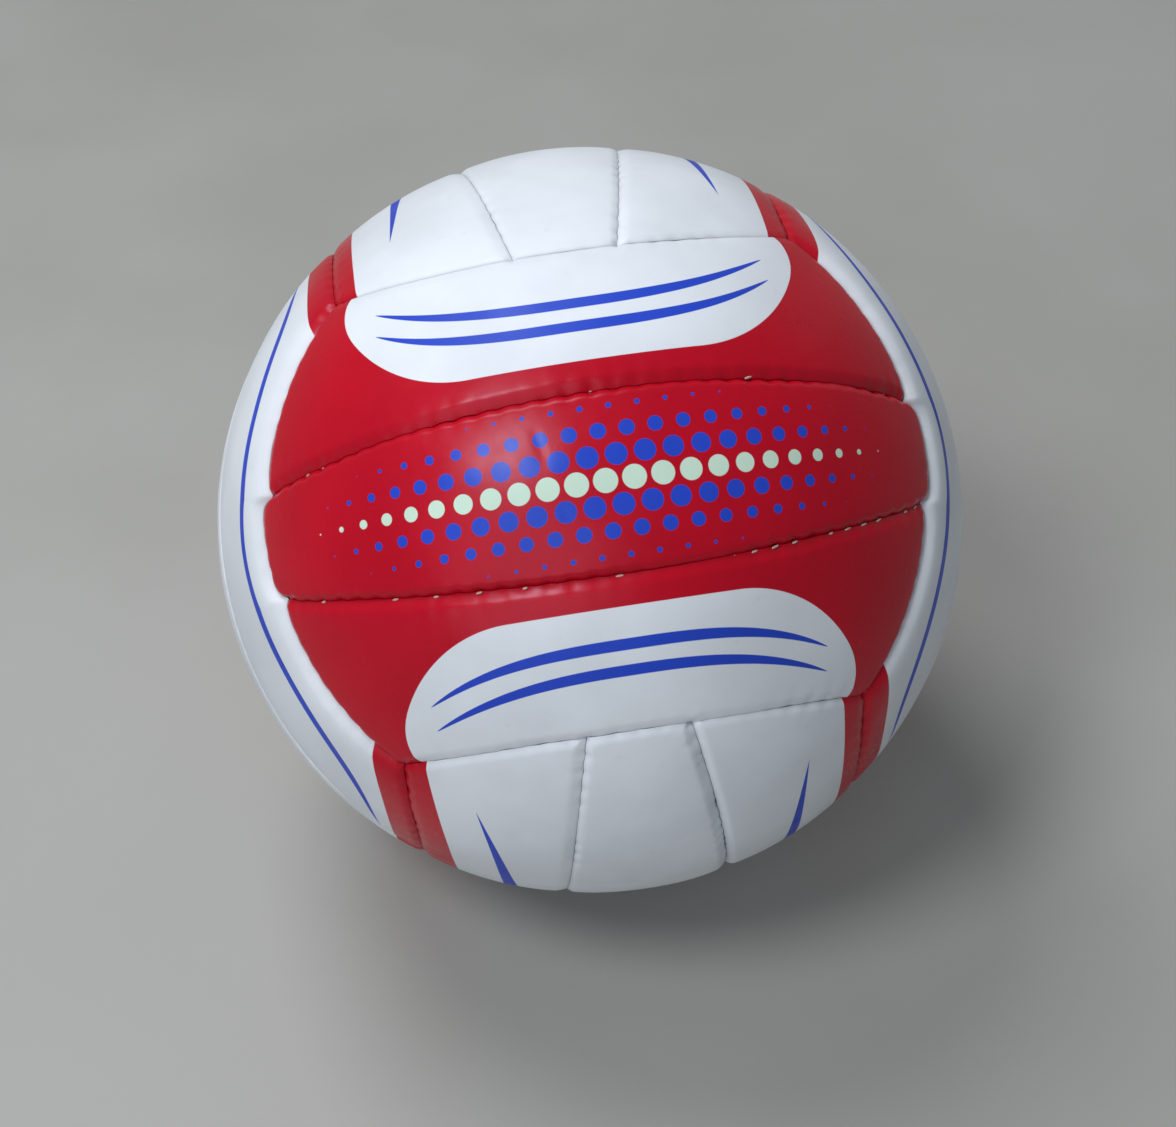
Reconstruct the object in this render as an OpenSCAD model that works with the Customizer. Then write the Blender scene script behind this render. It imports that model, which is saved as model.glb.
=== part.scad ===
// Volleyball of eighteen stitched panels, lying on the floor: six faces of three strips, each panel on a
// cloth lining, with the seam threads, the rubber bladder and the valve. The origin is the ball's centre.

/* [Ball] */
// Outside diameter of the inflated ball
ball_d = 210; // [190:1:230]
// Angle at the ball's centre between the middle of a face and the edge of its centre strip
strip_angle = 12.5; // [11.5:0.5:15]

/* [Cover panels] */
// Thickness of the foam-backed cover
cover_t = 1.6; // [1.2:0.1:2.2]
// Depth of the turned-in edges, below the inside of the cover
turn_in = 3.5; // [3:0.25:5]
// Thickness of the turned-in edges
turn_in_t = 1.2; // [0.9:0.1:1.8]
// Gap between the turned-in edges of two panels
seam_gap = 0.1; // [0.06:0.02:0.2]
// Radius of the rounding along the panels' edges
shoulder_r = 3; // [2.5:0.25:4]
// Height of the rounding's crest over the ball's surface, which sets how softly the two meet
shoulder_lift = 0.12; // [0.08:0.02:0.2]

/* [Lining] */
// Thickness of the cloth lining
lining_t = 0.7; // [0.4:0.1:1]
// Thickness of the glue line round each layer of cloth
glue_gap = 0.05; // [0.03:0.01:0.1]

/* [Seam thread] */
// Diameter of the sewing thread
thread_d = 0.9; // [0.6:0.1:1.1]
// Clear gap between the thread and the groove that it lies in
thread_clear = 0.05; // [0.03:0.01:0.1]
// Bare length of seam between a thread's end and the seam that it runs up to
thread_end = 1.5; // [1:0.25:3]

/* [Bladder] */
// Thickness of the bladder's wall
bladder_t = 0.6; // [0.4:0.1:1.2]
// Clear gap between the bladder and the turned-in edges
bladder_gap = 0.1; // [0.05:0.05:0.3]

/* [Valve] */
// Diameter of the inflating needle
needle_d = 2; // [1.8:0.1:2.4]
// Radial clearance of the needle in its bore
needle_clear = 0.05; // [0.03:0.01:0.1]
// Depth of the funnel that leads the needle in
funnel_depth = 0.8; // [0.4:0.1:1.5]
// Diameter of the valve core
core_d = 5.4; // [5:0.1:6]
// Length of the valve core
core_l = 14; // [11:0.5:17]
// Height of the bead that locks the core in its housing
bead_h = 2; // [1.5:0.25:3]
// Distance that the bead stands out from the core
bead_out = 0.5; // [0.3:0.05:0.8]
// Clear gap between the core and its housing
core_clear = 0.05; // [0.03:0.01:0.1]
// Wall of the housing round the core
housing_wall = 1.8; // [1.4:0.1:2.4]
// Thickness of the housing's floor under the core
housing_floor = 1.2; // [0.8:0.1:2]
// Diameter of the air hole in the housing's floor
air_hole_d = 3.4; // [2.8:0.1:4]
// Distance of the valve's face below the ball's surface
valve_recess = 0.5; // [0.3:0.1:1]
// Clear gap round the housing in the layers that it passes through
valve_gap = 0.2; // [0.1:0.05:0.4]
// Diameter of the housing's flange on the bladder
flange_d = 26; // [20:1:30]
// Thickness of the housing's flange
flange_t = 1.2; // [0.8:0.1:1.4]
// Diameter of the patch round the valve
patch_d = 34; // [24:1:36]
// Thickness of the patch
patch_t = 0.6; // [0.3:0.1:0.8]

/* [Lie] */
// Tip of the ball about the left-right axis: the front face looks up
lie_tip = -46.5; // [-60:0.5:-30]
// Roll of the ball about the front-back axis
lie_roll = -4.5; // [-10:0.5:10]
// Turn of the ball about the upright axis
lie_turn = 7.5; // [-20:0.5:20]
// Depth of the small flat that the ball's weight presses into its underside
rest_dent = 0.1; // [0.06:0.02:0.14]

/* [Hidden] */
$fn = 144;
red = [0.69, 0.09, 0.13];
white = [0.93, 0.93, 0.95];
cloth = [0.86, 0.82, 0.70];
cream = [0.92, 0.88, 0.78];
black_rubber = [0.10, 0.10, 0.11];
grey_rubber = [0.35, 0.35, 0.37];

ball_r = ball_d / 2;
cover_in_r = ball_r - cover_t;
turn_in_r = cover_in_r - turn_in;
lining_r = cover_in_r - glue_gap;
lining_in_r = lining_r - lining_t;
patch_r = lining_in_r - glue_gap;
bladder_r = turn_in_r - bladder_gap;
flange_r = bladder_r + glue_gap;
reach = ball_d;

// The thread lies between the two roundings of a seam, on the floor of the groove.
shoulder_x = shoulder_r + seam_gap / 2;
shoulder_depth = shoulder_r - shoulder_lift;
thread_room_r = thread_d / 2 + thread_clear;
thread_depth = shoulder_depth - sqrt(pow(shoulder_r + thread_room_r, 2) - pow(shoulder_x, 2));
groove_depth = thread_depth + thread_room_r;
thread_r = ball_r - thread_depth;

// Six equal cones about the ball's axes meet in eight points, the corners of the faces.
face_angle = acos(1 / sqrt(3));
// A face spans a quarter turn round the cone at each of its ends.
end_sweep = 90;
// Half of the angle that a strip seam spans between the two ends of its face
strip_half_sweep = acos(cos(face_angle) / cos(strip_angle));
// Cones and wedges start at this height over the ball's centre, clear of the layers that they cut.
cut_start = turn_in_r / 4;

valve_face = ball_r - valve_recess;
core_bottom = valve_face - core_l;
bead_middle = core_bottom + core_l / 2;
core_r = core_d / 2;
needle_bore_r = needle_d / 2 + needle_clear;
cavity_r = core_r + core_clear;
housing_r = cavity_r + bead_out + housing_wall;
valve_hole_r = housing_r + valve_gap;
housing_bottom = core_bottom - core_clear - housing_floor;

// Each face: its name, its turn from facing up with strips along X, its strips on the +Y side, in the
// middle and on the -Y side, the faces that its ends at +X and -X run up to, and its centre strip's colour
FACES = [
    ["front", [90, 0, 0], ["upper", "centre", "lower"], ["right", "left"], red],
    ["back", [90, 0, 180], ["upper", "centre", "lower"], ["left", "right"], red],
    ["right", [180, -90, 0], ["front", "centre", "back"], ["top", "bottom"], white],
    ["left", [0, -90, 0], ["back", "centre", "front"], ["top", "bottom"], white],
    ["top", [0, 0, 90], ["left", "centre", "right"], ["back", "front"], white],
    ["bottom", [180, 0, 90], ["right", "centre", "left"], ["back", "front"], white],
];
SIDES = [1, 0, -1];
ENDS = [1, -1];
VALVE_FACE = "top";

function panel_name(face, i) = str(face[0], "_", face[2][i], "_panel");
function lining_name(face, i) = str(face[0], "_", face[2][i], "_lining");
function strip_thread_name(face) = str(face[0], "_strip_thread");
function edge_thread_name(face, i) = str(face[0], "_", face[3][i], "_thread");

// Turns the ball from its own axes to the way it lies
module lie() {
    rotate([lie_tip, lie_roll, lie_turn]) children();
}

// Puts what is drawn facing up, with strips along X, on a face of the ball as it lies
module on_face(face) {
    lie() rotate(face[1]) children();
}

// Full ball with its poles on the X axis, clear of the face that is drawn
module full_ball(r) {
    rotate([0, 90, 0]) sphere(r);
}

// What is drawn about Z is put about the axis of the neighbouring face on the given side.
module about_side(side) {
    rotate([-90 * side, 0, 0]) rotate(90 * side) children();
}

// What is drawn about Y is tilted to the strip seam on the given side.
module at_strip_seam(side) {
    rotate([-strip_angle * side, 0, 0]) children();
}

// Layer of the ball between two radii
module layer(outer_r, inner_r) {
    difference() {
        full_ball(outer_r);
        full_ball(inner_r);
    }
}

// Cone from the ball's centre through a face's edges, with its wall moved in by inset
module edge_cone(inset) {
    function cone_r(height) = height * tan(face_angle) - inset / cos(face_angle);
    translate([0, 0, cut_start])
        cylinder(h = reach - cut_start, r1 = cone_r(cut_start), r2 = cone_r(reach));
}

// Wedge of the centre strip, with its sides moved in by inset
module centre_wedge(inset) {
    function half_w(height) = height * tan(strip_angle) - inset / cos(strip_angle);
    rotate([90, 0, 90])
        linear_extrude(2 * reach, center = true)
            polygon([
                [-half_w(cut_start), cut_start],
                [half_w(cut_start), cut_start],
                [half_w(reach), reach],
                [-half_w(reach), reach],
            ]);
}

// Space of an outer strip, from its strip seam to the neighbouring face, moved in by inset
module outer_wedge(side, inset) {
    difference() {
        at_strip_seam(side)
            translate([-reach, side > 0 ? inset : -reach - inset, -reach])
                cube([2 * reach, reach, 2 * reach]);
        about_side(side) edge_cone(-inset);
    }
}

// Space of one strip: side is 1 or -1 for an outer strip and 0 for the centre one
module strip_space(side, inset) {
    intersection() {
        rotate(90) edge_cone(inset);
        if (side == 0)
            centre_wedge(inset);
        else
            outer_wedge(side, inset);
    }
}

// Section of a seam's groove between two rounded shoulders, with the seam along Y
module seam_section() {
    difference() {
        translate([-shoulder_x, ball_r - groove_depth])
            square([2 * shoulder_x, groove_depth + shoulder_r]);
        for (side = ENDS)
            translate([side * shoulder_x, ball_r - shoulder_depth])
                circle(shoulder_r);
    }
}

// Ring that cuts a seam's groove, at the given angle from its axis
module seam_ring(angle) {
    rotate_extrude() rotate(-angle) seam_section();
}

// Cuts the grooves of the seams at a face's two ends
module cut_ends() {
    difference() {
        children();
        rotate(90) seam_ring(face_angle);
    }
}

// Cuts the groove of the seam between an outer strip and the next face
module cut_long_edge(side) {
    difference() {
        children();
        about_side(side) seam_ring(face_angle);
    }
}

// Cuts the groove of the strip seam on the given side
module cut_strip_seam(side) {
    difference() {
        children();
        at_strip_seam(side) about_side(1) seam_ring(90);
    }
}

// Cover panel with square, turned-in edges
module panel_blank(side) {
    difference() {
        intersection() {
            layer(ball_r, turn_in_r);
            strip_space(side, seam_gap / 2);
        }
        intersection() {
            layer(cover_in_r, bladder_r);
            strip_space(side, seam_gap / 2 + turn_in_t);
        }
    }
}

// Cover panel with its edges rounded, one seam after another
module panel(side) {
    if (side == 0)
        cut_strip_seam(-1) cut_strip_seam(1) cut_ends() panel_blank(side);
    else
        cut_strip_seam(side) cut_ends() cut_long_edge(side) panel_blank(side);
}

// Cloth lining inside a panel's turned-in edges
module lining(side) {
    intersection() {
        layer(lining_r, lining_in_r);
        strip_space(side, seam_gap / 2 + turn_in_t + glue_gap);
    }
}

// Hole for the valve through the layers of the valve's panel
module valve_hole() {
    cylinder(h = reach, r = valve_hole_r);
}

// Floor under the ball, raised by the depth of the dent
module floor_slab() {
    translate([-reach, -reach, -ball_r - reach + rest_dent])
        cube([2 * reach, 2 * reach, reach]);
}

module cover_panel(face, side) {
    color(side == 0 ? face[4] : white)
        difference() {
            on_face(face)
                difference() {
                    panel(side);
                    if (face[0] == VALVE_FACE && side == 0)
                        valve_hole();
                }
            floor_slab();
        }
}

module lining_panel(face, side) {
    color(cloth)
        on_face(face)
            difference() {
                lining(side);
                if (face[0] == VALVE_FACE && side == 0)
                    valve_hole();
            }
}

// Degrees of arc that a length takes up at the thread's radius on the ball
function thread_arc(length) = length / thread_r * 180 / PI;

// Threads of the two strip seams of a face
module strip_thread(face) {
    sweep = 2 * (strip_half_sweep - thread_arc(thread_room_r + thread_end));
    color(cream)
        on_face(face)
            for (side = ENDS)
                at_strip_seam(side)
                    rotate([-90, 0, 0])
                        rotate(-90 - sweep / 2)
                            rotate_extrude(angle = sweep)
                                translate([thread_r, 0])
                                    circle(thread_d / 2);
}

// Thread of the seam at one end of a face, from corner to corner
module edge_thread(face, end) {
    ring_r = thread_r * sin(face_angle);
    sweep = end_sweep - 2 * thread_arc(thread_end) / sin(face_angle);
    color(cream)
        on_face(face)
            rotate(end > 0 ? 0 : 180)
                rotate(-sweep / 2)
                    rotate_extrude(angle = sweep)
                        translate([ring_r, thread_r * cos(face_angle)])
                            circle(thread_d / 2);
}

// Part of a round layer of the ball, within the given radius of the valve's axis
module round_layer(outer_r, inner_r, layer_r, hole_r) {
    rotate_extrude()
        intersection() {
            difference() {
                circle(outer_r);
                circle(inner_r);
            }
            translate([hole_r, 0]) square([layer_r - hole_r, reach]);
        }
}

// Solid of the core, or of the cavity that it fits, larger by clear
module core_solid(clear) {
    translate([0, 0, core_bottom - clear])
        cylinder(h = core_l + clear, r = core_r + clear);
    translate([0, 0, bead_middle - bead_h / 2 - clear])
        cylinder(h = bead_h + 2 * clear, r = core_r + bead_out + clear);
}

module bladder() {
    color(black_rubber)
        lie()
            difference() {
                layer(bladder_r, bladder_r - bladder_t);
                valve_hole();
            }
}

module valve_housing() {
    color(black_rubber)
        lie()
            difference() {
                union() {
                    translate([0, 0, housing_bottom])
                        cylinder(h = valve_face - housing_bottom, r = housing_r);
                    round_layer(flange_r + flange_t, flange_r, flange_d / 2, cavity_r);
                }
                core_solid(core_clear);
                translate([0, 0, core_bottom])
                    cylinder(h = reach, r = cavity_r);
                translate([0, 0, housing_bottom - housing_floor])
                    cylinder(h = 3 * housing_floor, r = air_hole_d / 2);
            }
}

module valve_core() {
    color(grey_rubber)
        lie()
            difference() {
                core_solid(0);
                translate([0, 0, core_bottom - core_l])
                    cylinder(h = 3 * core_l, r = needle_bore_r);
                translate([0, 0, valve_face - funnel_depth])
                    cylinder(h = 2 * funnel_depth, r1 = needle_bore_r, r2 = needle_bore_r + 2 * funnel_depth);
            }
}

module valve_patch() {
    color(cloth)
        lie() round_layer(patch_r, patch_r - patch_t, patch_d / 2, valve_hole_r);
}

for (face = FACES) {
    for (i = [0 : 2]) {
        cover_panel(face, SIDES[i]);
        lining_panel(face, SIDES[i]);
    }
    strip_thread(face);
    for (i = [0 : 1])
        edge_thread(face, ENDS[i]);
}
bladder();
valve_housing();
valve_core();
valve_patch();
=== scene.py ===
"""Looks of a volleyball of eighteen stitched panels: puffed and printed covers with puckered seams, the
stitches, the cloth and rubber inside, a plain floor, soft light and the camera. Panel sizes are in mm."""

import math
import random
from typing import NamedTuple

import bmesh
import bpy
import numpy as np
from mathutils import Euler, Matrix, Vector


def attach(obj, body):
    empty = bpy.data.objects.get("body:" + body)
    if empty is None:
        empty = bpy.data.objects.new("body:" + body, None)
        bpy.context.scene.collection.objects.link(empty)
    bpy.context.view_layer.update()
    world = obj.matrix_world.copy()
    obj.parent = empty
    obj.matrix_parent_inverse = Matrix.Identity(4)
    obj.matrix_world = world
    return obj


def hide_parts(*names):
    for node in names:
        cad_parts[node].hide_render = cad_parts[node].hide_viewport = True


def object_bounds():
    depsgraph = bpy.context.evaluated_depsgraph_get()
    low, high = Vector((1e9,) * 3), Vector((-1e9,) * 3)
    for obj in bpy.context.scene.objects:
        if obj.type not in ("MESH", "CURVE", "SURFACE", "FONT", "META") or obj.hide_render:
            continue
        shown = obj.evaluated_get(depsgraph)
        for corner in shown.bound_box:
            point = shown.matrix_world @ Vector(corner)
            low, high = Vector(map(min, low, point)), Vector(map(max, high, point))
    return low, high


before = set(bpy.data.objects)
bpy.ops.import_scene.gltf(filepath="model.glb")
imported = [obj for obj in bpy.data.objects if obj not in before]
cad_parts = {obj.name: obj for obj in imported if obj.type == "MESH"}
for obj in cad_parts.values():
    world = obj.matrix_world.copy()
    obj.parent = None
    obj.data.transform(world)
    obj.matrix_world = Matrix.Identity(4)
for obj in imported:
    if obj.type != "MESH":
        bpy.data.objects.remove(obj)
cad_box = [list(corner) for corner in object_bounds()]

# Camera, placed as the photograph was taken
PHOTO_WIDTH = 1176
FOCAL_LENGTH_PIXELS = 2205.8
SENSOR_WIDTH = 36.0
CAMERA_PLACE = (-0.00129, -0.47553, 0.41456)
CAMERA_TURN = (47.816, 0.153, -0.215)

# The ball
MM = 0.001
BALL_R = 105.0
STRIP_ANGLE = math.radians(12.5)
LIE = (-46.5, -4.5, 7.5)
REST_HEIGHT = cad_box[0][2]
# Sine of the angle between a face's edge and the plane through its middle
EDGE = 1 / math.sqrt(3)
EDGE_ANGLE = math.asin(EDGE)
RIM_RADIUS = BALL_R * math.cos(EDGE_ANGLE)
STRIP_SEAM_HALF = BALL_R * math.acos(EDGE / math.cos(STRIP_ANGLE))
EDGE_SEAM_HALF = RIM_RADIUS * math.pi / 4
# Place along an end of a face where a strip seam runs up to it
STRIP_END = RIM_RADIUS * math.asin(math.tan(EDGE_ANGLE) * math.tan(STRIP_ANGLE))

# Each face: its turn from facing up with strips along X, and its strips on the +Y side, in the middle and
# on the -Y side
FACES = {
    "front": ((90, 0, 0), ("upper", "centre", "lower")),
    "back": ((90, 0, 180), ("upper", "centre", "lower")),
    "right": ((180, -90, 0), ("front", "centre", "back")),
    "left": ((0, -90, 0), ("back", "centre", "front")),
    "top": ((0, 0, 90), ("left", "centre", "right")),
    "bottom": ((180, 0, 90), ("right", "centre", "left")),
}
# The faces that a face's ends at +X and -X run up to
FACE_ENDS = {
    "front": ("right", "left"),
    "back": ("left", "right"),
    "right": ("top", "bottom"),
    "left": ("top", "bottom"),
    "top": ("back", "front"),
    "bottom": ("back", "front"),
}
SIDES = (1, 0, -1)
VALVE_PANEL = ("top", 0)
# The faces with red centre strips, which were cut longer
RED_CENTRES = ("front", "back")

# Cover panels
ALONG_STEPS = 290
ACROSS_STEPS = 62
EDGE_CROWDING = 1.4
SEAM_GAP = 0.02
# Width and power of the long slope along an edge that is tucked in, and of the tight roll along the other
TUCKED = (3.2, 1.4)
ROLLED = (2.3, 1.9)
SEAM_DEPTH = 0.75
SLACK_DEPTH = 0.55
# Share of that depth at the seams between a face's strips and at those between two faces, of which the
# ones at the two ends of the top face are sewn tight
STRIP_SHARES = {"front": 1, "back": 1, "right": 0.8, "left": 0.8, "top": 0.62, "bottom": 0.75}
EDGE_SHARE = 0.65
TIGHT_SHARE = 0.36
TIGHT_ENDS = ("top",)
TIGHT_RIMS = (("front", 1), ("back", 1))
# Face and side of a loosely sewn strip seam, where the centre strip is the one that is tucked in
LOOSE_SEAM = ("bottom", 1)
LOOSE_SHARE = 1.4
# Height of the ridge of foam beside the long rims of the side faces
RIDGE = 1.3
RIDGE_REACH = 6.5
RIDGED_FACES = ("right", "left")
CROWN = 0.25
PUFF = 0.45
PUFF_REACH = 6.5
COVER_THICKNESS = 1.5
EDGE_THICKNESS = 0.5
LINING_DEPTH = 1.55
STITCH_PITCH = 5.8
PULL = 0.5
PULL_POWER = 1.5
TUCKED_PULL_REACH = 2.2
ROLLED_PULL_REACH = 1.2
CRINKLE = 0.12
LOOSE_CRINKLE = 0.4
RIPPLE = 0.07
# Waves over the ball: their number, and the shortest and longest of them
CRINKLE_WAVES = (14, 3, 7)
RIPPLE_WAVES = (9, 16, 55)
SLACK_WAVES = (6, 14, 40)
# Strength of the sewing: its mean, its unevenness, and its least and most
SLACK_MEAN = 0.75
SLACK_SPREAD = 0.45
SLACK_LIMITS = (0.15, 1.5)
CRINKLE_SEED = 5
SLACK_SEED = 11
# Seeds of the ripples in a face's strips, by side
RIPPLE_SEEDS = {1: 36, 0: 29, -1: 22}
VALVE_HOLE_R = 5.25
VALVE_LIP = 1.0
# Creases pressed into a panel: the two ends as lengths along and across it, and the depth
CREASES = {
    ("front", 0): (
        ((-15.4, 16.5), (-13.2, 4.5), 0.16),
        ((-11.5, -4.0), (-9.5, -9.0), 0.08),
    ),
}
CREASE_REACH = 1.0

# How the stitches draw the seams out of line
STRIP_SCALLOP = 0.22
END_SCALLOP = 0.1
SCALLOP_REACH = 3.0
# Where a strip seam ends: depth of its notch in the rim, the notch's lengths along the outer strip's end
# and along the centre strip's, and how far the centre strip's round-cornered end stands out
END_NOTCH = (0.5, 2.0, 2.0, 0)
LONG_NOTCH = (1.6, 3.0, 1.0, 2.8)
BULGE_POWER = 6
END_REACH = 5.5
# Half width and reach of the softer bulge beyond END_REACH
SOFT_BULGE_HALF = 20.0
SOFT_BULGE_REACH = 18.0
CORNER_DIP = 0.9
CORNER_DIP_R = 1.3

# Stitches
THREAD_R = 0.32
STITCH_LENGTHS = (1.4, 2.4)
STITCH_TILTS = (4, 16)
STITCH_OFFSET = 0.5
# Rounds and slices of one stitch
STITCH_SEGMENTS = (8, 6)
# Length of seam beside a corner where no stitch shows, and at a seam's end where there is none
CORNER_CLEAR = 4.0
SEAM_END_CLEAR = 2.0
SHOWING_DEPTH = 1.3
SUNK_DEPTH = 2.3
DEPTH_SPREAD = 0.12
# Shares of a seam's stitches that show at its two ends, and those of the front face's lower strip seam
SHOWING = (0.05, 0.05)
FRONT_LOWER_SHOWING = (0.15, 1.0)

# Prints, as lengths along a panel and across it from the middle of its face
RED_MARGIN = 8.0
WINDOW_EDGE = 30.5
WINDOW_HALF_LENGTH = 62.9
WINDOW_CORNER = 34.0
WINDOW_PULL_IN_FROM = 48.0
WINDOW_PULL_IN = 0.016
# How far a panel's print bows towards the middle of its face
PRINT_BOWS = {("bottom", -1): 3.0}
DOT_PITCH = 7.0
LARGEST_DOT_R = 3.0
DOTS_HALF_LENGTH = 80.0
DOTS_HALF_HEIGHT = 21.0


class Stripe(NamedTuple):
    """A printed stripe that bends and tapers towards its two ends"""

    half_length: float
    middle: float
    rise: float
    bend_power: float
    half_width: float
    fullness: float
    taper: float


NEAR_WINDOW_STRIPE = Stripe(
    half_length=51.9, middle=40.0, rise=8.4, bend_power=3.0, half_width=1.5, fullness=2.5, taper=0.6
)
FAR_WINDOW_STRIPE = Stripe(
    half_length=51.3, middle=46.8, rise=8.5, bend_power=2.65, half_width=1.5, fullness=2.5, taper=0.6
)
SINGLE_STRIPE = Stripe(
    half_length=64.0, middle=41.5, rise=3.2, bend_power=3.0, half_width=2.0, fullness=2.0, taper=0.88
)
OUTLINE_STRIPE = Stripe(
    half_length=84.3, middle=54.9, rise=-34.8, bend_power=4.5, half_width=1.55, fullness=8.0, taper=0.7
)


def turned(angles):
    return Euler([math.radians(a) for a in angles], "XYZ").to_matrix()


def make_camera():
    data = bpy.data.cameras.new("camera")
    data.sensor_width = SENSOR_WIDTH
    data.lens = SENSOR_WIDTH * FOCAL_LENGTH_PIXELS / PHOTO_WIDTH
    camera = bpy.data.objects.new("camera", data)
    camera.location = CAMERA_PLACE
    camera.rotation_euler = [math.radians(a) for a in CAMERA_TURN]
    bpy.context.collection.objects.link(camera)
    bpy.context.scene.camera = camera


make_camera()


class Recipe:
    """Builds one material from nodes"""

    def __init__(self, name):
        self.material = bpy.data.materials.new(name)
        self.material.use_nodes = True
        self.tree = self.material.node_tree
        self.shader = self.tree.nodes["Principled BSDF"]

    def feed(self, socket, value):
        if isinstance(value, bpy.types.NodeSocket):
            self.tree.links.new(value, socket)
        else:
            socket.default_value = value

    def put(self, kind, inputs=None, **settings):
        node = self.tree.nodes.new("ShaderNode" + kind)
        for key, value in settings.items():
            setattr(node, key, value)
        for key, value in (inputs or {}).items():
            self.feed(node.inputs[key], value)
        return node

    def calc(self, operation, *values):
        node = self.put("Math", operation=operation)
        for socket, value in zip(node.inputs, values):
            self.feed(socket, value)
        return node.outputs[0]

    def span(self, value, low, high, to_low=0.0, to_high=1.0):
        node = self.put("MapRange", interpolation_type="SMOOTHSTEP")
        for socket, amount in zip(node.inputs, (value, low, high, to_low, to_high)):
            self.feed(socket, amount)
        return node.outputs[0]

    def mix(self, share, first, second):
        node = self.put("Mix", data_type="RGBA")
        self.feed(node.inputs[0], share)
        self.feed(node.inputs[6], first)
        self.feed(node.inputs[7], second)
        return node.outputs[2]

    def shaded(self, colour, level):
        node = self.put("Mix", data_type="RGBA", blend_type="MULTIPLY")
        node.inputs[0].default_value = 1.0
        self.feed(node.inputs[6], colour)
        self.feed(node.inputs[7], level)
        return node.outputs[2]

    def place(self):
        return self.put("TexCoord").outputs["Object"]

    def noise(self, scale, detail=3.0, rough=0.5):
        inputs = {"Vector": self.place(), "Scale": scale, "Detail": detail, "Roughness": rough}
        return self.put("TexNoise", inputs).outputs[0]

    def bump(self, height, distance, strength, below=None):
        inputs = {"Height": height, "Distance": distance, "Strength": strength}
        if below is not None:
            inputs["Normal"] = below
        return self.put("Bump", inputs).outputs[0]

    def finish(self, **inputs):
        for key, value in inputs.items():
            self.feed(self.shader.inputs[key.replace("_", " ")], value)
        return self.material


RED = (0.50, 0.003, 0.016, 1)
WHITE = (0.775, 0.81, 0.86, 1)
BLUE = (0.022, 0.066, 0.56, 1)
MINT = (0.62, 0.80, 0.66, 1)
THREAD_DARK = (0.58, 0.40, 0.34, 1)
THREAD_LIGHT = (0.78, 0.58, 0.50, 1)
CLOTH_DARK = (0.48, 0.42, 0.30, 1)
CLOTH_LIGHT = (0.74, 0.68, 0.53, 1)
SHEEN = (0.74, 0.82, 1.0, 1)
SHINE = 0.25
WHITE_ROUGHNESS = 0.42
RED_ROUGHNESS_DROP = -0.12
# Half of the width over which a print's edge blends
PRINT_EDGE = 0.12


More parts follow.
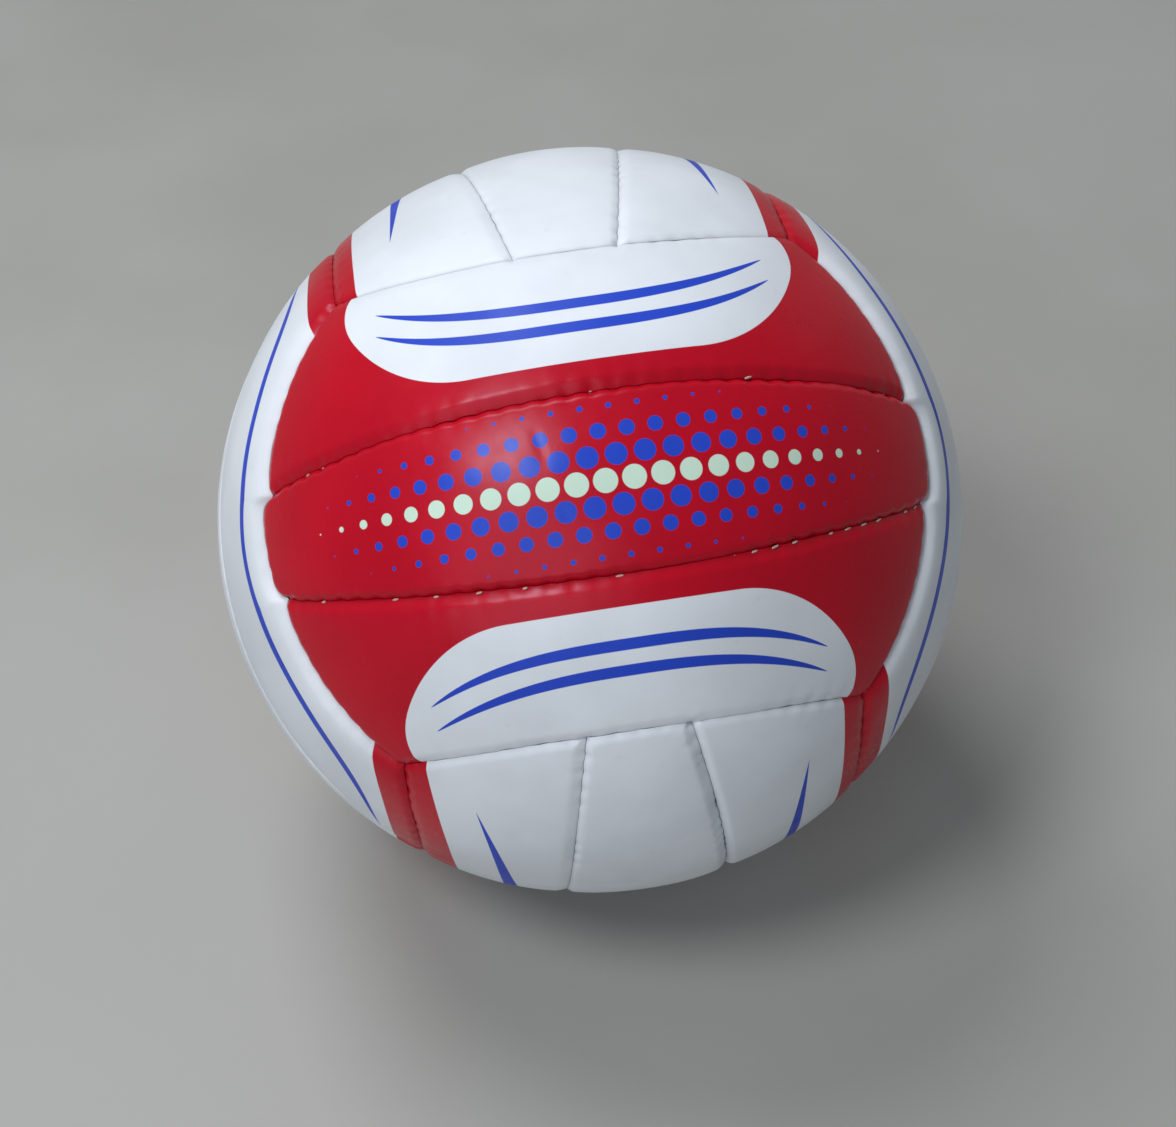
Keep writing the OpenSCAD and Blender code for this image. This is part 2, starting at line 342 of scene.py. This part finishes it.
class CoverRecipe(Recipe):
    """Builds the material of a printed cover panel"""

    def __init__(self, name):
        super().__init__(name)
        place = self.put("Attribute", attribute_name="print_place").outputs["Vector"]
        parts = self.put("SeparateXYZ", {0: place}).outputs
        self.signed_along = parts[0]
        self.signed_across = parts[1]
        self.along = self.calc("ABSOLUTE", parts[0])
        self.across = self.calc("ABSOLUTE", parts[1])
        self.to_end = parts[2]

    def inside(self, distance):
        """1 where the distance to a print's outline is below nought"""
        return self.span(distance, -PRINT_EDGE, PRINT_EDGE, 1.0, 0.0)

    def stripe(self, shape):
        share = self.calc("MINIMUM", self.calc("DIVIDE", self.along, shape.half_length), 1.0)
        bent = self.calc("POWER", share, shape.bend_power)
        bend = self.calc("MULTIPLY_ADD", bent, shape.rise, shape.middle)
        left = self.calc("SUBTRACT", 1.0, self.calc("POWER", share, shape.fullness))
        width = self.calc("MULTIPLY", self.calc("POWER", left, shape.taper), shape.half_width)
        off = self.calc("ABSOLUTE", self.calc("SUBTRACT", self.across, bend))
        ink = self.inside(self.calc("SUBTRACT", off, width))
        past_end = self.calc("SUBTRACT", self.along, shape.half_length)
        return self.calc("MULTIPLY", ink, self.inside(past_end))

    def window(self):
        """White round-cornered window that is open to the next face"""
        past = self.calc("MAXIMUM", self.calc("SUBTRACT", self.across, WINDOW_PULL_IN_FROM), 0.0)
        pulled = self.calc("MULTIPLY", self.calc("MULTIPLY", past, past), WINDOW_PULL_IN)
        along = self.calc("ADD", self.along, pulled)
        side = self.calc("SUBTRACT", along, WINDOW_HALF_LENGTH - WINDOW_CORNER)
        edge = self.calc("SUBTRACT", WINDOW_EDGE + WINDOW_CORNER, self.across)
        reach = [self.calc("MAXIMUM", value, 0.0) for value in (side, edge)]
        squares = [self.calc("MULTIPLY", value, value) for value in reach]
        length = self.calc("SQRT", self.calc("ADD", *squares))
        return self.inside(self.calc("SUBTRACT", length, WINDOW_CORNER))

    def dots(self):
        """Staggered dots that shrink away from the panel's middle; gives their ink and their row"""
        row_height = DOT_PITCH * math.sqrt(3) / 2
        row = self.calc("ROUND", self.calc("DIVIDE", self.signed_across, row_height))
        shift = self.calc("MULTIPLY", self.calc("PINGPONG", row, 1.0), DOT_PITCH / 2)
        unshifted = self.calc("SUBTRACT", self.signed_along, shift)
        column = self.calc("ROUND", self.calc("DIVIDE", unshifted, DOT_PITCH))
        dot_along = self.calc("MULTIPLY_ADD", column, DOT_PITCH, shift)
        dot_across = self.calc("MULTIPLY", row, row_height)
        off_along = self.calc("SUBTRACT", self.signed_along, dot_along)
        off_across = self.calc("SUBTRACT", self.signed_across, dot_across)
        length_share = self.calc("DIVIDE", dot_along, DOTS_HALF_LENGTH)
        height_share = self.calc("DIVIDE", dot_across, DOTS_HALF_HEIGHT)
        share_squares = [self.calc("MULTIPLY", share, share) for share in (length_share, height_share)]
        fall = self.calc("ADD", *share_squares)
        radius = self.calc("MULTIPLY", self.calc("SUBTRACT", 1.0, fall), LARGEST_DOT_R)
        squares = [self.calc("MULTIPLY", off, off) for off in (off_along, off_across)]
        distance = self.calc("SQRT", self.calc("ADD", *squares))
        return self.inside(self.calc("SUBTRACT", distance, radius)), row

    def cover(self, colour, red_share):
        """Finishes the panel: worn soft PVC with a fine grain, painted shade in the seams and a gloss by
        colour
        """
        seam = self.put("Attribute", attribute_name="from_seam").outputs["Fac"]
        mottle = self.span(self.noise(scale=34.0, detail=4.0), 0.3, 0.7, to_low=0.94, to_high=1.04)
        scratches = self.noise(scale=210.0, detail=6.0, rough=0.7)
        scuffs = self.span(scratches, 0.60, 0.80, to_low=1.0, to_high=0.90)
        # Painted shade: the colour darkens over the last millimetre towards each seam, standing in for the
        # shade in its groove
        painted_seam_shade = self.span(seam, 0.0, 1.0, to_low=0.88, to_high=1.0)
        level = self.calc("MULTIPLY", self.calc("MULTIPLY", mottle, scuffs), painted_seam_shade)
        handling = self.noise(scale=60.0, detail=5.0, rough=0.6)
        haze = self.span(handling, 0.35, 0.75, to_low=-0.05, to_high=0.09)
        roughness = self.calc("MULTIPLY_ADD", red_share, RED_ROUGHNESS_DROP, WHITE_ROUGHNESS)
        grain = self.bump(self.noise(scale=1500.0, detail=2.0), distance=0.00012, strength=0.10)
        wave = self.bump(self.noise(scale=95.0, detail=2.0), distance=0.0006, strength=0.10, below=grain)
        return self.finish(
            Base_Color=self.shaded(colour, level),
            Roughness=self.calc("ADD", roughness, haze),
            Normal=wave,
            Specular_IOR_Level=SHINE,
            Specular_Tint=SHEEN,
        )


def windowed_cover():
    """Outer strips of the front and back faces: red with a white window and two stripes"""
    recipe = CoverRecipe("windowed_cover")
    window = recipe.window()
    near = recipe.stripe(NEAR_WINDOW_STRIPE)
    far = recipe.stripe(FAR_WINDOW_STRIPE)
    colour = recipe.mix(window, RED, WHITE)
    colour = recipe.mix(recipe.calc("MAXIMUM", near, far), colour, BLUE)
    return recipe.cover(colour, recipe.calc("SUBTRACT", 1.0, window))


def striped_cover():
    """Outer strips of the top and bottom faces: white with a red margin and a stripe"""
    recipe = CoverRecipe("striped_cover")
    outer = BALL_R * EDGE_ANGLE - RED_MARGIN
    margin = recipe.inside(recipe.calc("SUBTRACT", outer, recipe.across))
    stripe = recipe.stripe(SINGLE_STRIPE)
    colour = recipe.mix(stripe, recipe.mix(margin, WHITE, RED), BLUE)
    return recipe.cover(colour, margin)


def lined_cover():
    """Outer strips of the side faces: white with red ends and a line round their outline"""
    recipe = CoverRecipe("lined_cover")
    margin = recipe.inside(recipe.calc("SUBTRACT", recipe.to_end, RED_MARGIN))
    line = recipe.stripe(OUTLINE_STRIPE)
    colour = recipe.mix(line, recipe.mix(margin, WHITE, RED), BLUE)
    return recipe.cover(colour, margin)


def red_ended_cover():
    """Centre strips of the side faces: white with red ends"""
    recipe = CoverRecipe("red_ended_cover")
    margin = recipe.inside(recipe.calc("SUBTRACT", recipe.to_end, RED_MARGIN))
    return recipe.cover(recipe.mix(margin, WHITE, RED), margin)


def plain_white_cover():
    """Centre strips of the top and bottom faces"""
    recipe = CoverRecipe("plain_white_cover")
    return recipe.cover(WHITE, 0.0)


def dotted_red_cover():
    """Centre strips of the front and back faces: red with a patch of dots"""
    recipe = CoverRecipe("dotted_red_cover")
    ink, row = recipe.dots()
    middle_row = recipe.calc("COMPARE", row, 0.0, 0.5)
    colour = recipe.mix(ink, RED, recipe.mix(middle_row, BLUE, MINT))
    return recipe.cover(colour, 1.0)


def sewing_thread():
    recipe = Recipe("sewing_thread")
    twist_inputs = {"Vector": recipe.place(), "Scale": 900.0, "Distortion": 2.0}
    twist = recipe.put("TexWave", twist_inputs).outputs["Fac"]
    fuzz = recipe.noise(scale=2500.0, detail=2.0)
    colour = recipe.mix(recipe.noise(scale=400.0), THREAD_DARK, THREAD_LIGHT)
    # Painted shade: the thread's colour is darker in the low grooves of its twist and full on the raised
    # plies
    return recipe.finish(
        Base_Color=recipe.shaded(colour, recipe.span(twist, 0.0, 1.0, to_low=0.8, to_high=1.0)),
        Roughness=recipe.span(fuzz, 0, 1, to_low=0.6, to_high=0.85),
        Normal=recipe.bump(twist, distance=0.0002, strength=0.5),
        Sheen_Weight=0.2,
    )


def woven_cloth():
    recipe = Recipe("woven_cloth")
    yarns = {"Vector": recipe.place(), "Scale": 420.0}
    warp = recipe.put("TexWave", yarns, bands_direction="X").outputs["Fac"]
    weft = recipe.put("TexWave", yarns, bands_direction="Z").outputs["Fac"]
    weave = recipe.calc("MULTIPLY", warp, weft)
    # Painted shade: the cloth is light on the raised yarn crossings and dark in the hollows between them
    colour = recipe.mix(weave, CLOTH_DARK, CLOTH_LIGHT)
    slubs = recipe.span(recipe.noise(scale=260.0, detail=5.0), 0.3, 0.7, to_low=0.85, to_high=1.05)
    return recipe.finish(
        Base_Color=recipe.shaded(colour, slubs),
        Roughness=recipe.span(weave, 0, 1, to_low=0.95, to_high=0.8),
        Normal=recipe.bump(weave, distance=0.0003, strength=0.5),
        Sheen_Weight=0.15,
    )


def moulded_rubber(name, colour, dusty):
    recipe = Recipe(name)
    dust = recipe.span(recipe.noise(scale=140.0, detail=5.0, rough=0.65), 0.45, 0.75)
    skin = recipe.noise(scale=1800.0, detail=2.0)
    return recipe.finish(
        Base_Color=recipe.mix(dust, colour, dusty),
        Roughness=recipe.span(dust, 0, 1, to_low=0.5, to_high=0.75),
        Normal=recipe.bump(skin, distance=0.0001, strength=0.2),
    )


def strip_points(side, along, across):
    """Points of one strip on a ball of radius 1; along and across run from -1 to 1"""
    gap = SEAM_GAP / BALL_R
    if side == 0:
        tilt = across * STRIP_ANGLE
        offset = -across * gap
    else:
        share = (across + 1) / 2
        tilt = (1 - share) * STRIP_ANGLE
        offset = gap + share * (math.sin(EDGE_ANGLE - gap) - gap)
    ring = np.sqrt(1 - offset**2)
    end = np.arccos((math.sin(EDGE_ANGLE + gap) + offset * np.sin(tilt)) / (ring * np.cos(tilt)))
    x = ring * np.sin(along * end)
    level = ring * np.cos(along * end)
    y = offset * np.cos(tilt) + level * np.sin(tilt)
    z = level * np.cos(tilt) - offset * np.sin(tilt)
    half_turn = -1 if side < 0 else 1
    return np.stack((x * half_turn, y * half_turn, z), axis=1)


def crowded(share):
    """Moves steps from -1 to 1 closer together towards the two ends"""
    return np.sin(share * EDGE_CROWDING) / math.sin(EDGE_CROWDING)


def rim_distance(height):
    """Distance along the ball from the rim of the face that the height is measured towards"""
    return BALL_R * (np.arcsin(np.clip(height, -1, 1)) - EDGE_ANGLE)


def stitch_pull(place):
    """How hard the stitches pull at a place along a seam, from 0 between them to 1"""
    return (0.5 + 0.5 * np.cos(2 * math.pi * place / STITCH_PITCH)) ** PULL_POWER


def strip_seam_place(seam_side, points):
    """Angles of the points off the strip seam on one side, outwards, and along it"""
    x, y, z = points.T
    across = seam_side * y
    off = np.arcsin(across * math.cos(STRIP_ANGLE) - z * math.sin(STRIP_ANGLE))
    return off, np.arctan2(x, across * math.sin(STRIP_ANGLE) + z * math.cos(STRIP_ANGLE))


class Seam(NamedTuple):
    """One seam of a panel, with the panel's points as distances from it and places along it"""

    distance: np.ndarray
    place: np.ndarray
    tucked: bool
    depth_share: float
    crinkle: float
    ridge: float


def seams_of(face, side, points):
    x, y, z = points.T
    to_end = rim_distance(z)
    end_share = TIGHT_SHARE if face in TIGHT_ENDS else EDGE_SHARE
    seams = [Seam(to_end, RIM_RADIUS * np.arctan2(y, np.abs(x)), False, end_share, 0, 0)]
    for seam_side in (1, -1):
        if side in (0, seam_side):
            off, turn = strip_seam_place(seam_side, points)
            loose = (face, seam_side) == LOOSE_SEAM
            tucked = (side == 0) == loose
            share = LOOSE_SHARE if loose else STRIP_SHARES[face]
            crinkle = tucked * (LOOSE_CRINKLE if loose else CRINKLE)
            seams.append(Seam(BALL_R * np.abs(off), BALL_R * turn, tucked, share, crinkle, 0))
    if side != 0:
        place = RIM_RADIUS * np.arctan2(x, z)
        ridge = RIDGE * (face in RIDGED_FACES) * (1 - np.exp(-np.clip(to_end, 0, None) / RIDGE_REACH))
        share = TIGHT_SHARE if (face, side) in TIGHT_RIMS else EDGE_SHARE
        seams.append(Seam(-rim_distance(np.abs(y)), place, True, share, CRINKLE, ridge))
    return seams


def ripples(points, seed, count, shortest, longest):
    """Smooth irregular waves over the ball, mostly between -1 and 1"""
    draw = random.Random(seed)
    total = np.zeros(len(points))
    for _ in range(count):
        direction = Vector([draw.gauss(0, 1) for _ in range(3)]).normalized()
        wave_number = 2 * math.pi * BALL_R / draw.uniform(shortest, longest)
        total += np.sin(points @ np.array(direction) * wave_number + draw.uniform(0, 2 * math.pi))
    return total / math.sqrt(count)


def slackness(ball_points):
    """Uneven strength of the sewing over the ball"""
    unevenness = SLACK_SPREAD * ripples(ball_points, SLACK_SEED, *SLACK_WAVES)
    return np.clip(SLACK_MEAN + unevenness, *SLACK_LIMITS)


def panel_depth(face, side, points, ball_points):
    """Depth of a panel's surface below its crown, with its rounded edges and stitch puckers"""
    slack = slackness(ball_points)
    edges = np.zeros(len(points))
    flat_share = np.ones(len(points))
    pull = np.zeros(len(points))
    ridges = np.zeros(len(points))
    crinkles = ripples(ball_points, CRINKLE_SEED, *CRINKLE_WAVES)
    for seam in seams_of(face, side, points):
        distance = np.clip(seam.distance, 0, None)
        width, power = TUCKED if seam.tucked else ROLLED
        reach = TUCKED_PULL_REACH if seam.tucked else ROLLED_PULL_REACH
        near = seam.depth_share * np.exp(-distance / reach)
        edges = np.maximum(edges, seam.depth_share * np.clip(1 - distance / width, 0, 1) ** power)
        flat_share *= 1 - np.exp(-distance / PUFF_REACH)
        pull = np.maximum(pull, (PULL * stitch_pull(seam.place) + seam.crinkle * crinkles) * near)
        ridges += seam.ridge * distance / RIDGE_REACH * np.exp(1 - distance / RIDGE_REACH)
    sunk = SEAM_DEPTH * edges + PUFF * (1 - flat_share) + slack * (SLACK_DEPTH * edges + pull)
    return sunk - ridges


def crease_depth(creases, places):
    """Depth of creases at places on a panel"""
    depth = np.zeros(len(places))
    for start, end, deepest in creases:
        run = np.subtract(end, start)
        share = np.clip((places - start) @ run / (run @ run), 0, 1)
        off = np.linalg.norm(places - start - share[:, None] * run, axis=1)
        depth += deepest * np.sin(math.pi * share) * np.exp(-((off / CREASE_REACH) ** 2))
    return depth


def sewn(ball_points):
    """Places of points of a ball of radius 1 once its seams are sewn, and the dips where panels meet"""
    slack = slackness(ball_points)
    moves = np.zeros(ball_points.shape)
    corner_distance = BALL_R * np.linalg.norm(np.abs(ball_points) - EDGE, axis=1)
    dips = np.exp(-((corner_distance / CORNER_DIP_R) ** 2))
    for face, (turn, _) in FACES.items():
        axes = np.array(turned(turn))
        points = ball_points @ axes
        x, y, z = points.T
        above = z > 0

        inwards = rim_distance(z)
        place = RIM_RADIUS * np.arctan2(np.abs(y), np.abs(x))
        depth, outer, inner, bulge = LONG_NOTCH if face in RED_CENTRES else END_NOTCH
        notch = depth * np.exp(-np.abs(place - STRIP_END) / np.where(place > STRIP_END, outer, inner))
        sharp = bulge * np.clip(1 - (place / STRIP_END) ** BULGE_POWER, 0, None)
        soft = bulge * np.exp(-((place / SOFT_BULGE_HALF) ** 2))
        scallop = END_SCALLOP * slack * stitch_pull(place) * np.clip(EDGE_SEAM_HALF - place, 0, 1)
        near = np.exp(-((inwards / END_REACH) ** 2))
        beyond = np.exp(-((inwards / SOFT_BULGE_REACH) ** 2)) - near
        shift = above * ((notch + scallop - sharp) * near - soft * beyond)
        uphill = np.array((0, 0, 1)) - z[:, None] * points
        uphill /= np.linalg.norm(uphill, axis=1)[:, None] + 1e-9
        local_moves = shift[:, None] * uphill
        dips += above * np.exp(-(((place - STRIP_END) ** 2 + inwards**2) / CORNER_DIP_R**2))

        for seam_side in (1, -1):
            off, turn_along = strip_seam_place(seam_side, points)
            place = BALL_R * np.abs(turn_along)
            scallop = STRIP_SCALLOP * slack * stitch_pull(place) * np.clip(STRIP_SEAM_HALF - place, 0, 1)
            shift = above * scallop * np.exp(-((BALL_R * off / SCALLOP_REACH) ** 2))
            outwards = np.array((0, seam_side * math.cos(STRIP_ANGLE), -math.sin(STRIP_ANGLE)))
            local_moves -= shift[:, None] * outwards
        moves += local_moves @ axes.T
    placed = ball_points + moves / BALL_R
    return placed / np.linalg.norm(placed, axis=1)[:, None], CORNER_DIP * np.clip(dips, 0, 1)


def new_object(name, mesh):
    piece = bpy.data.objects.new(name, mesh)
    bpy.context.collection.objects.link(piece)
    return piece


def coordinates(mesh):
    flat = np.empty(len(mesh.vertices) * 3)
    mesh.vertices.foreach_get("co", flat)
    return flat.reshape(-1, 3)


def open_valve_hole(bm):
    """Cuts the round hole for the valve at the top of a panel on a ball of radius 1"""
    hole = VALVE_HOLE_R / BALL_R
    bmesh.ops.delete(bm, geom=[v for v in bm.verts if v.co.xy.length < hole], context="VERTS")
    for vert in bm.verts:
        if vert.is_boundary and vert.co.xy.length < 2 * hole:
            vert.co.xy = vert.co.xy.normalized() * hole
            vert.co.z = math.sqrt(1 - hole**2)


def strip_mesh(name, face, side):
    """A strip as a sheet on a ball of radius 1"""
    bm = bmesh.new()
    bmesh.ops.create_grid(bm, x_segments=ALONG_STEPS, y_segments=ACROSS_STEPS, size=1.0)
    grid = np.array([vert.co for vert in bm.verts])
    spread = strip_points(side, crowded(grid[:, 0]), crowded(grid[:, 1]))
    for vert, point in zip(bm.verts, spread):
        vert.co = point
    if (face, side) == VALVE_PANEL:
        open_valve_hole(bm)
    mesh = bpy.data.meshes.new(name)
    bm.to_mesh(mesh)
    bm.free()
    return mesh


def valve_lip_depth(points):
    """Depth of the rounded lip round the valve's hole"""
    lip = VALVE_LIP - BALL_R * np.hypot(points[:, 0], points[:, 1]) + VALVE_HOLE_R
    return VALVE_LIP - np.sqrt(VALVE_LIP**2 - np.clip(lip, 0, VALVE_LIP) ** 2)


def print_places(face, side, points, flat_places):
    """Where the points of a panel lie in its print: along, across, and from the end"""
    bow = PRINT_BOWS.get((face, side), 0) * np.cos(math.pi / 2 * flat_places[:, 0] / EDGE_SEAM_HALF)
    across = flat_places[:, 1] + side * bow
    return np.column_stack((flat_places[:, 0], across, rim_distance(points[:, 2])))


def give_wall(piece, depth):
    """Gives a panel its thickness, which leaves room for the lining below its sunken edges"""
    thickness = np.clip(CROWN - depth + LINING_DEPTH, EDGE_THICKNESS, COVER_THICKNESS)
    group = piece.vertex_groups.new(name="thickness")
    for number, share in enumerate(thickness / COVER_THICKNESS):
        group.add([number], float(share), "REPLACE")
    wall = piece.modifiers.new("wall", "SOLIDIFY")
    wall.thickness = COVER_THICKNESS * MM
    wall.offset = -1
    wall.vertex_group = group.name


def cover_panel(face, side, material):
    name = f"{face}_{FACES[face][1][1 - side]}"
    mesh = strip_mesh(name + "_cover", face, side)
    points = coordinates(mesh)
    points /= np.linalg.norm(points, axis=1)[:, None]
    ball_points = points @ np.array(turned(FACES[face][0])).T
    flat_places = BALL_R * np.arcsin(points[:, :2])

    depth = panel_depth(face, side, points, ball_points)
    depth += RIPPLE * ripples(ball_points, RIPPLE_SEEDS[side], *RIPPLE_WAVES)
    sewn_points, dips = sewn(ball_points)
    depth += dips
    if (face, side) == VALVE_PANEL:
        depth += valve_lip_depth(points)
    depth += crease_depth(CREASES.get((face, side), ()), flat_places)
    placed = (sewn_points * (BALL_R + CROWN - depth)[:, None] * MM) @ np.array(turned(LIE)).T
    placed[:, 2] = np.maximum(placed[:, 2], REST_HEIGHT)
    mesh.vertices.foreach_set("co", placed.ravel())

    print_place = mesh.attributes.new("print_place", "FLOAT_VECTOR", "POINT")
    print_place.data.foreach_set("vector", print_places(face, side, points, flat_places).ravel())
    seam_distance = np.min([seam.distance for seam in seams_of(face, side, points)], axis=0)
    from_seam = mesh.attributes.new("from_seam", "FLOAT", "POINT")
    from_seam.data.foreach_set("value", seam_distance)
    mesh.shade_smooth()
    mesh.materials.append(material)
    mesh.update()

    piece = new_object(name + "_cover", mesh)
    give_wall(piece, depth)
    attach(piece, "root")
    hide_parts(name + "_panel")


def stitched_seam(name, face, half_length, seams, material):
    """Stitches along seams, each given by its points at places along it and the shares that show"""
    draw = random.Random(name)
    to_ball = np.array(turned(FACES[face][0])).T
    to_floor = np.array(turned(LIE)).T
    bm = bmesh.new()
    rounds, slices = STITCH_SEGMENTS
    reach = half_length - SEAM_END_CLEAR
    count = int(reach / STITCH_PITCH)
    places = np.arange(-count, count + 1) * STITCH_PITCH
    for at, end_shares in seams:
        shares = np.interp(places, (-reach, reach), end_shares)
        middles, befores, afters = [
            sewn(at(places + step) @ to_ball)[0] @ to_floor for step in (0, -STITCH_OFFSET, STITCH_OFFSET)
        ]
        for place, showing, middle, before, after in zip(places, shares, middles, befores, afters):
            outwards = Vector(middle)
            forward = Vector(after - before).normalized()
            sideways = outwards.cross(forward).normalized()
            tilt = Matrix.Rotation(math.radians(draw.uniform(*STITCH_TILTS)), 3, outwards)
            axes = tilt @ Matrix((forward, sideways, outwards)).transposed()
            length = draw.uniform(*STITCH_LENGTHS)
            at_corner = abs(abs(place) - STRIP_END) < CORNER_CLEAR
            depth = SHOWING_DEPTH if draw.random() < showing and not at_corner else SUNK_DEPTH
            height = BALL_R - depth - draw.uniform(-DEPTH_SPREAD, DEPTH_SPREAD)
            size = Matrix.Diagonal((length / 2, THREAD_R, THREAD_R))
            move = Matrix.Translation(outwards * height * MM)
            turn = (axes @ size * MM).to_4x4()
            bmesh.ops.create_uvsphere(
                bm, u_segments=rounds, v_segments=slices, radius=1.0, matrix=move @ turn
            )
    mesh = bpy.data.meshes.new(name + "_stitches")
    bm.to_mesh(mesh)
    bm.free()
    mesh.shade_smooth()
    mesh.materials.append(material)
    piece = new_object(name + "_stitches", mesh)
    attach(piece, "root")
    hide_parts(name + "_thread")


def strip_seam(side):
    """Gives points just outside a strip seam, at places along it"""

    def at(places):
        turns = places / BALL_R
        tilt = side * (STRIP_ANGLE + STITCH_OFFSET / BALL_R)
        levels = np.cos(turns)
        return np.stack((np.sin(turns), levels * math.sin(tilt), levels * math.cos(tilt)), axis=1)

    return at


def end_seam(end):
    """Gives points just outside the seam at an end of a face, at places along it"""

    def at(places):
        turns = places / RIM_RADIUS
        angle = EDGE_ANGLE - STITCH_OFFSET / BALL_R
        rim = end * math.cos(angle)
        heights = np.full(len(places), math.sin(angle))
        return np.stack((rim * np.cos(turns), rim * np.sin(turns), heights), axis=1)

    return at


# Covers of a face's outer strips and of its centre strip
FRONT_COVERS = (windowed_cover(), dotted_red_cover())
TOP_COVERS = (striped_cover(), plain_white_cover())
SIDE_COVERS = (lined_cover(), red_ended_cover())
FACE_COVERS = {
    "front": FRONT_COVERS,
    "back": FRONT_COVERS,
    "right": SIDE_COVERS,
    "left": SIDE_COVERS,
    "top": TOP_COVERS,
    "bottom": TOP_COVERS,
}
for face_name in FACES:
    outer_cover, centre_cover = FACE_COVERS[face_name]
    for strip_side in SIDES:
        cover_panel(face_name, strip_side, centre_cover if strip_side == 0 else outer_cover)

THREAD_MATERIAL = sewing_thread()
for face_name in FACES:
    lower_showing = FRONT_LOWER_SHOWING if face_name == "front" else SHOWING
    strips = [(strip_seam(1), SHOWING), (strip_seam(-1), lower_showing)]
    stitched_seam(f"{face_name}_strip", face_name, STRIP_SEAM_HALF, strips, THREAD_MATERIAL)
    for end_side, neighbour in zip((1, -1), FACE_ENDS[face_name]):
        edge_name = f"{face_name}_{neighbour}"
        edges = [(end_seam(end_side), SHOWING)]
        stitched_seam(edge_name, face_name, EDGE_SEAM_HALF, edges, THREAD_MATERIAL)

CLOTH = woven_cloth()
RUBBERS = {
    "bladder": moulded_rubber("bladder_rubber", (0.02, 0.02, 0.022, 1), (0.06, 0.06, 0.06, 1)),
    "valve_housing": moulded_rubber("valve_rubber", (0.025, 0.025, 0.027, 1), (0.07, 0.07, 0.07, 1)),
    "valve_core": moulded_rubber("core_rubber", (0.09, 0.09, 0.10, 1), (0.16, 0.16, 0.16, 1)),
}
for node_name, cad_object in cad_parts.items():
    if node_name.endswith("_panel") or node_name.endswith("_thread"):
        continue
    cad_object.data.materials.clear()
    cad_object.data.materials.append(RUBBERS.get(node_name, CLOTH))


# Floor and backdrop, in metres
BACKDROP = (0.30, 0.30, 0.295, 1)
FLOOR_DARK = (0.38, 0.373, 0.350, 1)
FLOOR_LIGHT = (0.415, 0.408, 0.385, 1)
FLOOR_HALF = 4.0
FLOOR_STEPS = 8
# Distances from the ball's centre between which the floor fades
FLOOR_FADE = (0.5, 1.05)
AMBIENT = (0.80, 0.90, 1.0, 1)
AMBIENT_STRENGTH = 0.118


def seen_directly(tree):
    """1 for the rays of the camera, of mirror images and through clear things"""
    rays = tree.nodes.new("ShaderNodeLightPath").outputs
    total = rays["Is Camera Ray"]
    for kind in ("Is Glossy Ray", "Is Transmission Ray"):
        node = tree.nodes.new("ShaderNodeMath")
        node.operation = "MAXIMUM"
        tree.links.new(total, node.inputs[0])
        tree.links.new(rays[kind], node.inputs[1])
        total = node.outputs[0]
    return total


def plain_floor():
    """Pale floor that fades to an even backdrop away from the ball"""
    recipe = Recipe("pale_floor")
    tone = recipe.span(recipe.noise(scale=6.0, detail=4.0), 0.3, 0.7)
    colour = recipe.mix(tone, FLOOR_DARK, FLOOR_LIGHT)
    recipe.finish(Base_Color=colour, Roughness=recipe.span(tone, 0, 1, to_low=0.45, to_high=0.6))
    distance = recipe.put("VectorMath", {0: recipe.place()}, operation="LENGTH").outputs["Value"]
    far = recipe.calc("MULTIPLY", recipe.span(distance, *FLOOR_FADE), seen_directly(recipe.tree))
    backdrop = recipe.put("Emission", {"Color": BACKDROP}).outputs[0]
    mixed = recipe.put("MixShader", {0: far, 1: recipe.shader.outputs[0], 2: backdrop}).outputs[0]
    recipe.feed(recipe.tree.nodes["Material Output"].inputs["Surface"], mixed)
    bm = bmesh.new()
    bmesh.ops.create_grid(bm, x_segments=FLOOR_STEPS, y_segments=FLOOR_STEPS, size=FLOOR_HALF)
    bmesh.ops.translate(bm, verts=bm.verts, vec=(0, 0, REST_HEIGHT))
    mesh = bpy.data.meshes.new("floor")
    bm.to_mesh(mesh)
    bm.free()
    mesh.materials.append(recipe.material)
    floor = new_object("floor", mesh)


def soft_lamp(name, place, size, power, colour, mirrored=True):
    """Round lamp that faces the ball"""
    data = bpy.data.lights.new(name, "AREA")
    data.shape = "DISK"
    data.size = size
    data.energy = power
    data.color = colour
    lamp = bpy.data.objects.new(name, data)
    lamp.visible_glossy = mirrored
    lamp.location = place
    lamp.rotation_euler = (-Vector(place)).to_track_quat("-Z", "Y").to_euler()
    bpy.context.collection.objects.link(lamp)


def light_room():
    world = bpy.data.worlds.new("room")
    world.use_nodes = True
    tree = world.node_tree
    ambient = tree.nodes["Background"]
    ambient.inputs["Color"].default_value = AMBIENT
    ambient.inputs["Strength"].default_value = AMBIENT_STRENGTH
    backdrop = tree.nodes.new("ShaderNodeBackground")
    backdrop.inputs["Color"].default_value = BACKDROP
    mixed = tree.nodes.new("ShaderNodeMixShader")
    for socket, value in zip(mixed.inputs, (seen_directly(tree), ambient.outputs[0], backdrop.outputs[0])):
        tree.links.new(value, socket)
    tree.links.new(mixed.outputs[0], tree.nodes["World Output"].inputs["Surface"])
    bpy.context.scene.world = world
    soft_lamp("ceiling", (-0.58, -0.58, 1.20), size=0.46, power=8.8, colour=(0.94, 0.968, 1.0))
    soft_lamp("window", (-0.40, -1.20, 0.55), size=1.2, power=5.0, colour=(0.89, 0.945, 1.0))
    soft_lamp("skylight", (-0.50, 0.45, 1.35), size=0.8, power=11.2, colour=(0.95, 0.972, 1.0))
    soft_lamp("doorway", (1.00, 0.95, 0.45), size=0.9, power=3.2, colour=(0.92, 0.96, 1.0), mirrored=False)


plain_floor()
light_room()
bpy.context.scene.view_settings.view_transform = "Standard"
